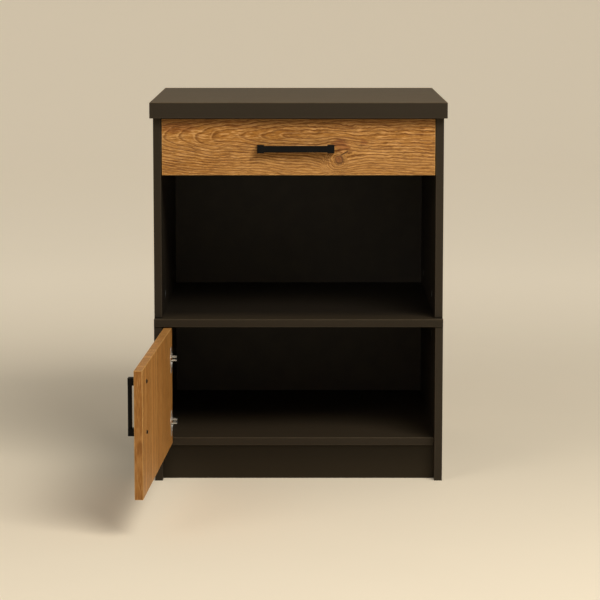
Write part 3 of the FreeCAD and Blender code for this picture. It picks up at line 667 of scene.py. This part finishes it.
def drawer_arches(finish, drift, ripple):
    """How far the drawer's front lies above the tree's heart, and how far in front of it, at each point.

    The heart slopes away to the left, so the rings show as arches that point left. They part around the
    knot.
    """
    x, y, z = finish.x, finish.y, finish.z
    around_x, around_z = (x - KNOT_SWELLING[0]) * 0.72, z - KNOT_SWELLING[1]
    around = finish.length(around_x, around_z)
    pushed = z - around_z * finish.fade(around, 6.0, 50.0, 0.62, 0.0)
    low_half = finish.math("SMOOTH_MAX", ARCH_HEIGHT - pushed, 0.0, 4.0)
    up = pushed - ARCH_HEIGHT - low_half * 0.12 + low_half * x * 0.0006 + drift * 18 + ripple * 10
    far = finish.math("SMOOTH_MAX", (x - ARCH_TIP) * -0.140, 0.0, 3.0) + (y - DRAWER_FACE) * 0.9
    far = far + 7 - finish.fade(x, -110.0, -175.0, 0.0, 2.8) + finish.most(-172 - x, 0.0) * 0.04
    return up, far


def knot_heart(finish, colour, knot_x, knot_z, away, tremble):
    """Lays the knot's mottled heart over a colour, and says where the knot is cracked, from 0 to 1.

    Away is how far a point is from the knot's middle, as its uneven rings count it.
    """
    grit = finish.noise(finish.vector(finish.x, finish.z, finish.y), 0.22, 3.0, 0.6)
    flesh = finish.mix(finish.fade(grit, 0.38, 0.62), srgb(98, 52, 24), srgb(150, 92, 50))
    colour = finish.mix(finish.fade(away, 6.0, 12.0, 0.75, 0.0), colour, flesh)
    rim = finish.fade(abs(away - 8.6 + (grit - 0.5) * 6), 0.8, 2.6, 0.85, 0.0)
    rim = rim * finish.fade(knot_x * 0.75 - knot_z * 0.66, -10.0, 5.0, 0.25, 1.0)
    right, up = finish.x - KNOT_SPLIT[0], finish.z - KNOT_SPLIT[1]
    slant_x, slant_z = right * 0.894 + up * 0.447, up * 0.894 - right * 0.447
    split = finish.fade(abs(slant_z) + abs(tremble) * 8, 0.9, 2.4, 1.0, 0.0)
    crack = finish.most(rim, split * finish.fade(abs(slant_x), 6.0, 10.0, 1.0, 0.0))
    return finish.mix(crack * 0.95, colour, srgb(52, 25, 9)), crack


def drawer_oak(colours):
    """Flat-sawn oak lying across, its arches pointing left, with a knot and stained patches."""
    finish = Finish("drawer_oak")
    x, y, z = finish.x, finish.y, finish.z
    drift = finish.streaks((x, z, y), 0.008, 0.012) - 0.5
    ripple = finish.streaks((x, z, y), 0.020, 0.045, 3.0, 0.6) - 0.5
    tremble = finish.streaks((x, z, y), 0.055, 0.10, 3.0, 0.6) - 0.5

    up, far = drawer_arches(finish, drift, ripple)
    radius = finish.length(up, far)
    flank = finish.fade(abs(up) / radius, 0.15, 0.95)
    rings = radius / DRAWER_RING + ripple * 0.4 + tremble * (0.12 + flank * 0.20) + 0.34
    knot_x, knot_z = (x - KNOT[0]) * 0.93, (z - KNOT[1]) * 1.02
    away = finish.length(knot_x, knot_z) + ripple * 7 + tremble * 5
    knot = finish.fade(away + (knot_z + knot_x) * 0.30, 15.0, 24.0, 1.0, 0.0)
    rings = finish.between(knot, rings, away / KNOT_RING + 0.45)
    wide = finish.between(knot, 0.24 + flank * 0.24, 0.5)
    colour, roughness, relief = oak(finish, x, up, y, rings, colours, 0.80 + flank * 0.28, wide)
    colour, crack = knot_heart(finish, colour, knot_x, knot_z, away, tremble)

    for middle_x, middle_z, half_x, half_z, strength in STAINS:
        spot = finish.length((x - middle_x) / half_x, (z - middle_z) / half_z) + ripple * 2.4 + tremble * 1.8
        stain = finish.fade(spot, 0.5, 1.25, strength, 0.0)
        colour = finish.mix(stain, colour, (0.55, 0.38, 0.28), "MULTIPLY")
    lower = finish.fade(x * 0.05 - (z - 668), 0.0, 30.0, 0.0, 0.26)
    colour = finish.mix(lower, colour, srgb(178, 126, 64))
    # Painted shadow: the top of the drawer front is darkened, where the worktop's overhang shades it.
    upper = finish.fade(z + ripple * 30, 716.0, 740.0, 0.0, 0.36)
    colour = finish.mix(upper, colour, srgb(132, 82, 40))
    low, high = (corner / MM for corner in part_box("drawer_front"))
    # Painted highlight along the drawer front's edges.
    edge = finish.edges(low, high, width=1.6)
    colour = finish.mix(edge * 0.40, colour, srgb(214, 170, 104))
    return finish.surface(colour, roughness + crack * 0.2, relief - crack * 0.6, 0.80, **OAK_SHEEN)


def door_oak(colours):
    """The door's oak, its grain upright in long straight lines."""
    finish = Finish("door_oak")
    finish.turn_about(DOOR_PIVOT, DOOR_OPEN)
    x, y, z = finish.x, finish.y, finish.z
    drift = finish.streaks((z, x, y), 0.005, 0.010) - 0.5
    ripple = finish.streaks((z, x, y), 0.010, 0.05, 3.0, 0.55) - 0.5
    side = x + 60 + drift * 30 + ripple * 6
    far = finish.math("SMOOTH_MAX", (z - 250) * 0.09, 0.0, 3.0) + 9 + (y - DOOR_SHUT_LOW[1]) * 0.8
    rings = finish.length(side, far) / DOOR_RING + ripple * 0.6
    colour, roughness, relief = oak(finish, z, x, y, rings, colours, 0.75)
    boards = finish.noise(finish.vector(z * 0.0004, x * 0.016, 0.0), 1.0, 1.0)
    colour = finish.mix(finish.fade(boards, 0.35, 0.65, 0.10, 0.40), colour, srgb(188, 126, 62))
    for middle, half in DOOR_STREAKS:
        streak = finish.fade(abs(x - middle + ripple * 12), half * 0.4, half, 0.45, 0.0)
        colour = finish.mix(streak, colour, srgb(222, 164, 96))
    # Painted shade: the door's free end face is darkened.
    end_face_shade = finish.fade(x, DOOR_SHUT_HIGH[0] - 0.5, DOOR_SHUT_HIGH[0] - 0.1, 0.0, 0.50)
    colour = finish.mix(end_face_shade, colour, srgb(120, 76, 34))
    # Painted highlight along the door's arrises.
    edge = finish.edges(DOOR_SHUT_LOW, DOOR_SHUT_HIGH, width=1.6)
    colour = finish.mix(edge * 0.45, colour, srgb(214, 170, 104))
    return finish.surface(colour, roughness, relief, 0.25, **OAK_SHEEN)


def birch_ply(name, through_axis, low):
    """Birch plywood: a pale face with quiet grain, and its layers showing along the edges."""
    finish = Finish(name)
    x, y, z = finish.x, finish.y, finish.z
    through, along = (x - low, y) if through_axis == "X" else (y - low, x)
    figure = finish.noise(finish.vector(along * 0.009, z * 0.11, through * 0.5), 1.0, 4.0, 0.55)
    curl = finish.noise(finish.vector(along * 0.05, z * 0.013, 0.0), 1.0, 2.0)
    layer = finish.fraction(through / (PLY_THICKNESS / PLY_LAYERS))
    dark_layer = finish.fade(abs(layer - 0.5), 0.22, 0.28)
    face = finish.mix(finish.fade(figure * 0.7 + curl * 0.3, 0.35, 0.65), srgb(206, 178, 138),
                      srgb(178, 146, 104))
    inside = finish.fade(abs(through - PLY_THICKNESS / 2), 4.9, 5.2, 1.0, 0.0)
    face = finish.mix(dark_layer * inside, face, srgb(138, 100, 62))
    return finish.surface(face, 0.5 + figure * 0.12, figure, 0.03)


def hardboard(name, faces_front):
    """Pressed fibre board: matt and speckled, with the side towards the room painted dark."""
    finish = Finish(name)
    fibres = finish.noise(finish.place, 0.8, 5.0, 0.7)
    flecks = finish.noise(finish.vector(finish.x * 0.5, finish.y * 2.0, finish.z * 1.6), 1.0, 2.0)
    raw = finish.mix(finish.fade(fibres, 0.30, 0.70), srgb(122, 88, 58), srgb(158, 120, 82))
    raw = finish.mix(finish.fade(flecks, 0.62, 0.72) * 0.5, raw, srgb(92, 62, 40))
    cloud = finish.noise(finish.place, 0.02, 3.0)
    paint = finish.mix(finish.fade(cloud, 0.30, 0.70), srgb(40, 34, 27), srgb(50, 43, 34))
    painted = finish.fade(faces_front(finish), -0.05, 0.05, 1.0, 0.0)
    colour = finish.mix(painted, raw, paint)
    roughness = finish.between(painted, 0.78, 0.55) + fibres * 0.08
    return finish.surface(colour, roughness, fibres, 0.05)


def powder_coat(colour):
    """Black powder coat: a fine even pebble, a little paler where fingers and edges rub."""
    finish = Finish("black_powder_coat")
    pebble = finish.noise(finish.place, 1.9, 2.0, 0.5)
    rub = finish.noise(finish.place, 0.05, 3.0, 0.6)
    coat = finish.mix(finish.fade(rub, 0.40, 0.70), shaded(colour, 0.85), shaded(colour, 1.5))
    return finish.surface(coat, 0.46 + rub * 0.14, pebble, 0.04, Specular_IOR_Level=0.12)


def plated(name, colour, roughness, streak, depth=0.01, metal=1.0):
    """Plated steel: a metal with rolling streaks along one axis and a faint cloudy bloom."""
    finish = Finish(name)
    scales = {"X": (0.03, 2.4, 2.4), "Y": (2.4, 0.03, 2.4), "Z": (2.4, 2.4, 0.03)}[streak]
    drawn = finish.noise(finish.add("ShaderNodeMapping", {"Vector": finish.place, "Scale": scales}),
                         1.0, 3.0, 0.6)
    bloom = finish.noise(finish.place, 0.07, 3.0, 0.6)
    tint = finish.mix(finish.fade(bloom, 0.35, 0.70), colour, shaded(colour, 0.78))
    return finish.surface(tint, roughness - 0.07 + drawn * 0.10 + bloom * 0.08, drawn, depth, Metallic=metal)


def beech():
    """Beech dowel rod, fluted along its length and speckled with short rays."""
    finish = Finish("beech")
    rays = finish.noise(finish.vector(finish.x * 1.8, finish.y * 1.8, finish.z * 0.5), 1.0, 2.0)
    lines = finish.noise(finish.vector(finish.x * 0.8, finish.y * 0.8, finish.z * 0.02), 1.0, 2.0)
    colour = finish.mix(finish.fade(lines, 0.30, 0.70), srgb(214, 178, 134), srgb(190, 148, 104))
    colour = finish.mix(finish.fade(rays, 0.62, 0.72) * 0.6, colour, srgb(150, 104, 66))
    return finish.surface(colour, 0.6 + rays * 0.1, lines, 0.05)


def moulded_cap():
    """Dark brown moulded plastic with a fine spark texture."""
    finish = Finish("moulded_cap")
    spark = finish.noise(finish.place, 2.6, 2.0, 0.6)
    tone = finish.noise(finish.place, 0.2, 2.0)
    colour = finish.mix(tone, srgb(38, 31, 24), srgb(54, 45, 35))
    return finish.surface(colour, 0.42 + spark * 0.12, spark, 0.02)


# ---- operators

class STAND_OT_stage(bpy.types.Operator):
    """Floor, backdrop, lamps and camera"""

    bl_idname = "stand.stage"
    bl_label = "Stage"

    def execute(self, context):
        scene = context.scene
        stage = scene.stand_stage
        self.paper_bowl(tuple(stage.floor))
        self.lamp("key_lamp", (1.5, -2.4, 2.9), (0.0, 0.1, 0.45), (2.2, 1.6), stage.key, (1.0, 0.965, 0.90))
        self.lamp("fill_lamp", (-2.3, -2.6, 1.9), (0.0, 0.0, 0.40), (1.8, 1.8), stage.fill, (1.0, 0.97, 0.93))
        world = bpy.data.worlds.new("room_light")
        world.use_nodes = True
        background = world.node_tree.nodes["Background"].inputs
        background["Color"].default_value = (1.0, 0.985, 0.96, 1)
        background["Strength"].default_value = stage.sky
        scene.world = world
        scene.view_settings.view_transform = "Standard"
        self.camera(scene, stage)
        return {"FINISHED"}

    @staticmethod
    def paper_finish(colour):
        """Faintly mottled paper, which glows a little to the eye where it is far from the stand."""
        finish = Finish("paper_bowl")
        mottle = finish.noise(finish.place, 0.004, 3.0)
        path = finish.add("ShaderNodeLightPath", out="Is Camera Ray")
        seen = finish.most(path, path.out("Is Glossy Ray"), path.out("Is Transmission Ray"))
        far = finish.length(finish.x, finish.y)
        glow = finish.mix(seen * finish.fade(far, 300.0, 3600.0, 0.12, 0.50), (0, 0, 0), colour)
        paper = finish.mix(mottle, shaded(colour, 0.97), colour)
        return finish.surface(paper, 0.85, Emission_Color=glow, Emission_Strength=1.0)

    def paper_bowl(self, colour):
        """One sheet of pale paper all round: flat under the stand, curving up far behind every side."""
        flat, bend, top, sides, steps = 7.5, 1.8, 7.0, 96, 10
        curve = [(0.4, 0.0), (2.0, 0.0), (flat, 0.0)]
        curve += [(flat + bend * math.sin(a), bend - bend * math.cos(a))
                  for a in (math.pi / 2 * i / steps for i in range(1, steps + 1))]
        curve.append((flat + bend, top))
        rings = [[(r * math.cos(a), r * math.sin(a), z)
                  for a in (math.tau * i / sides for i in range(sides))] for r, z in curve]
        corners = [corner for ring in rings for corner in ring]
        faces = [tuple(range(sides))]
        for low in range(len(curve) - 1):
            start = low * sides
            faces += [(start + i, start + sides + i, start + sides + (i + 1) % sides, start + (i + 1) % sides)
                      for i in range(sides)]
        mesh = bpy.data.meshes.new("paper_bowl")
        mesh.from_pydata(corners, [], faces)
        mesh.shade_smooth()
        mesh.materials.append(self.paper_finish(colour))
        link_object("paper_bowl", mesh)

    @staticmethod
    def lamp(name, place, aim, size, power, colour):
        """A soft box: a wide and high lamp at a place, turned to what it aims at."""
        light = bpy.data.lights.new(name, "AREA")
        light.shape = "RECTANGLE"
        light.size, light.size_y = size
        light.spread = LAMP_SPREAD
        light.energy = power
        light.color = colour
        holder = link_object(name, light)
        holder.location = place
        holder.rotation_euler = (Vector(aim) - Vector(place)).to_track_quat("-Z", "Y").to_euler()

    @staticmethod
    def camera(scene, stage):
        """A camera straight in front, looking down by its pitch."""
        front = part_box("worktop")[0].y
        lens = bpy.data.cameras.new("camera")
        lens.lens = stage.lens
        lens.sensor_width = 36
        camera = link_object("camera", lens)
        camera.location = (3 * MM, front - stage.distance, stage.height)
        camera.rotation_euler = (math.pi / 2 - stage.pitch, 0, 0)
        scene.camera = camera


class STAND_OT_boards(bpy.types.Operator):
    """Dark melamine on the worktop, sides, shelves and plinth"""

    bl_idname = "stand.boards"
    bl_label = "Carcass boards"

    def execute(self, context):
        finishes = context.scene.stand_finishes
        # The paler tops are painted light.
        tops = {"worktop": tuple(finishes.top), "bottom_panel": tuple(finishes.inner),
                "microwave_shelf": tuple(finishes.inner)}
        # Each board's colour is scaled by its painted shade or light from the table above; the plinth's
        # darker colour and its overhang shadow are painted shade too.
        for node, (grain, light) in MELAMINE_BOARDS.items():
            low, high = (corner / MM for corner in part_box(node))
            overhang_shadow = node == "plinth_board"
            colour = shaded(finishes.plinth if overhang_shadow else finishes.board, light)
            joint = {"upper_side": low.z, "lower_side": high.z}.get(node[:10])
            lit_strip_depth = SHELF_LIT_DEPTH if node == "microwave_shelf" else None
            wear(melamine(f"melamine_{node}", grain, low, high, colour, tops.get(node), joint, lit_strip_depth, overhang_shadow),
                 node)
        return {"FINISHED"}


class STAND_OT_back_sheet(bpy.types.Operator):
    """Hardboard for the back sheet and the drawer's bottom"""

    bl_idname = "stand.back_sheet"
    bl_label = "Back sheet and drawer bottom"

    def execute(self, context):
        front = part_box("back_sheet")[0].y / MM
        wear(hardboard("back_hardboard", lambda finish: finish.y - front - 1.0), "back_sheet")
        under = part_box("drawer_bottom")[0].z / MM
        wear(hardboard("bottom_hardboard", lambda finish: under + 1.0 - finish.z), "drawer_bottom")
        return {"FINISHED"}


class STAND_OT_fronts(bpy.types.Operator):
    """Oak for the drawer front and the door"""

    bl_idname = "stand.fronts"
    bl_label = "Oak fronts"

    def execute(self, context):
        finishes = context.scene.stand_finishes
        colours = [tuple(finishes.oak_pale), tuple(finishes.oak_warm), tuple(finishes.oak_late)]
        wear(drawer_oak(colours), "drawer_front")
        wear(door_oak(colours), "door_panel")
        return {"FINISHED"}


class STAND_OT_drawer_box(bpy.types.Operator):
    """Birch plywood for the drawer's box"""

    bl_idname = "stand.drawer_box"
    bl_label = "Drawer box"

    def execute(self, context):
        for node, through in BOX_BOARDS.items():
            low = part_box(node)[0]
            wear(birch_ply(f"birch_{node}", through, (low.x if through == "X" else low.y) / MM), node)
        return {"FINISHED"}


class STAND_OT_handles(bpy.types.Operator):
    """Black powder coat for both bar handles"""

    bl_idname = "stand.handles"
    bl_label = "Handles"

    def execute(self, context):
        black = tuple(context.scene.stand_finishes.handle)
        wear(powder_coat(black), "drawer_handle", "door_handle")
        return {"FINISHED"}


class STAND_OT_hinges(bpy.types.Operator):
    """Nickel plate for the hinges' arms, cups, plates and pins"""

    bl_idname = "stand.hinges"
    bl_label = "Hinges"

    def execute(self, context):
        nickel = tuple(context.scene.stand_finishes.nickel)
        arms = plated("nickel_arm", nickel, 0.42, "Y", metal=0.85)
        wear(arms, "hinge_arm_upper", "hinge_arm_lower", "hinge_plate_upper", "hinge_plate_lower")
        for node in ("hinge_arm_upper", "hinge_arm_lower"):
            stamp_arm(node, arms)
        cups = plated("nickel_cup", nickel, 0.40, "Z", metal=0.85)
        wear(cups, "hinge_cup_upper", "hinge_cup_lower", "hinge_pins")
        return {"FINISHED"}


class STAND_OT_runners(bpy.types.Operator):
    """Zinc plate for the drawer's runners, cages and balls"""

    bl_idname = "stand.runners"
    bl_label = "Runners"

    def execute(self, context):
        zinc = tuple(context.scene.stand_finishes.zinc)
        channels = [f"runner_{member}_{side}" for member in ("outer", "middle", "inner")
                    for side in ("left", "right")]
        wear(plated("zinc_channel", zinc, 0.36, "Y"), *channels)
        wear(plated("bright_cage", shaded(zinc, 1.1), 0.26, "Y"), "outer_ball_cages", "inner_ball_cages")
        wear(plated("polished_ball", srgb(222, 222, 224), 0.14, "X", 0.002), "outer_balls", "inner_balls")
        return {"FINISHED"}


class STAND_OT_carcass_fittings(bpy.types.Operator):
    """Dowels, cam fittings, carcass screws and their caps"""

    bl_idname = "stand.carcass_fittings"
    bl_label = "Carcass fittings"

    def execute(self, context):
        zinc = tuple(context.scene.stand_finishes.zinc)
        wear(beech(), "top_dowels", "shelf_dowels")
        wear(plated("cast_cam", shaded(zinc, 0.8), 0.48, "X", 0.04), "cam_discs")
        wear(plated("zinc_bolt", zinc, 0.36, "Z"), "top_cam_bolts", "shelf_cam_bolts", "carcass_screws")
        wear(moulded_cap(), "screw_caps")
        return {"FINISHED"}


class STAND_OT_screws(bpy.types.Operator):
    """Cross-recess screws of the door, hinges, drawer and runners"""

    bl_idname = "stand.screws"
    bl_label = "Screws"

    def execute(self, context):
        steel = plated("screw_zinc", tuple(context.scene.stand_finishes.zinc), 0.30, "X")
        black = plated("screw_black_oxide", srgb(40, 36, 31), 0.42, "X")
        flush = {"Head radius": 1.75, "Crown radius": 3.4, "Head height": 2.0, "Shank radius": 1.7,
                 "Thread depth": 0.45, "Recess size": 4.0}
        handle = {"Head radius": 4, "Crown radius": 2.6, "Head height": 2.4, "Shank radius": 1.95,
                  "Thread depth": 0.25, "Thread pitch": 0.7}
        plate = {"Head radius": 4, "Crown radius": 2.6, "Head height": 1.6, "Shank radius": 2.85,
                 "Thread depth": 0.8, "Length": 14.6}
        arm = {"Head radius": 3.8, "Crown radius": 2.9, "Head height": 1.8, "Shank radius": 2.35,
               "Thread depth": 0.2, "Length": 8.2, "Thread pitch": 0.7}
        door_in, back, right = [Matrix.Rotation(-DOOR_OPEN, 3, "Z") @ BACKWARD], [BACKWARD], [RIGHT]
        both = [-RIGHT, RIGHT]
        for name, body, material, ways, sizes in (
                ("cup", "door", steel, door_in, {**flush, "Length": 13}),
                ("door_handle", "door", black, door_in, {**handle, "Length": 27.4}),
                ("drawer_handle", "drawer", black, back, {**handle, "Length": 39.4}),
                ("drawer_front", "drawer", steel, back, {**flush, "Length": 24}),
                ("drawer_corner", "drawer", steel, both, {**flush, "Length": 36}),
                ("runner_drawer", "drawer", steel, both, {**flush, "Length": 11}),
                ("runner_cabinet", "cabinet", steel, both, {**flush, "Length": 14}),
                ("plate", "cabinet", steel, right, plate),
                ("arm", "cabinet", steel, right, arm)):
            make_screws(f"{name}_screws_turned", f"{name}_screws", body, ways, material, sizes)
        return {"FINISHED"}


class STAND_OT_back_nails(bpy.types.Operator):
    """Round-headed nails of the back sheet"""

    bl_idname = "stand.back_nails"
    bl_label = "Back nails"

    def execute(self, context):
        wire = plated("nail_wire", shaded(context.scene.stand_finishes.zinc, 0.8), 0.34, "Y")
        sizes = {"Head radius": 2.2, "Crown radius": 1.7, "Head height": 0.5, "Shank radius": 0.75,
                 "Thread depth": 0.0, "Length": 20.4, "Recess depth": 0.0}
        make_screws("back_nails_drawn", "back_nails", "cabinet", [BACKWARD], wire, sizes)
        return {"FINISHED"}


OPERATORS = (STAND_OT_stage, STAND_OT_boards, STAND_OT_back_sheet, STAND_OT_fronts, STAND_OT_drawer_box,
             STAND_OT_handles, STAND_OT_hinges, STAND_OT_runners, STAND_OT_carcass_fittings,
             STAND_OT_screws, STAND_OT_back_nails)


class STAND_PT_panel(bpy.types.Panel):
    """The stand's settings and steps"""

    bl_idname = "STAND_PT_panel"
    bl_label = "Microwave Stand"
    bl_space_type = "VIEW_3D"
    bl_region_type = "UI"
    bl_category = "Stand"

    def draw(self, context):
        for group in (getattr(context.scene, name) for name in GROUPS):
            box = self.layout.box()
            for name in group.__annotations__:
                box.prop(group, name)
        for operator in OPERATORS:
            self.layout.operator(operator.bl_idname)


GROUPS = {"stand_finishes": StandFinishes, "stand_fasteners": StandFasteners, "stand_hinges": StandHinges,
          "stand_stage": StandStage}


def register():
    for group in GROUPS.values():
        bpy.utils.register_class(group)
    for name, group in GROUPS.items():
        setattr(bpy.types.Scene, name, PointerProperty(type=group))
    for item in (*OPERATORS, STAND_PT_panel):
        bpy.utils.register_class(item)


def unregister():
    for item in reversed((*OPERATORS, STAND_PT_panel)):
        bpy.utils.unregister_class(item)
    for name in GROUPS:
        delattr(bpy.types.Scene, name)
    for group in GROUPS.values():
        bpy.utils.unregister_class(group)


def main():
    register()
    for operator in OPERATORS:
        family, name = operator.bl_idname.split(".")
        getattr(getattr(bpy.ops, family), name)()


if __name__ == "__main__":
    main()
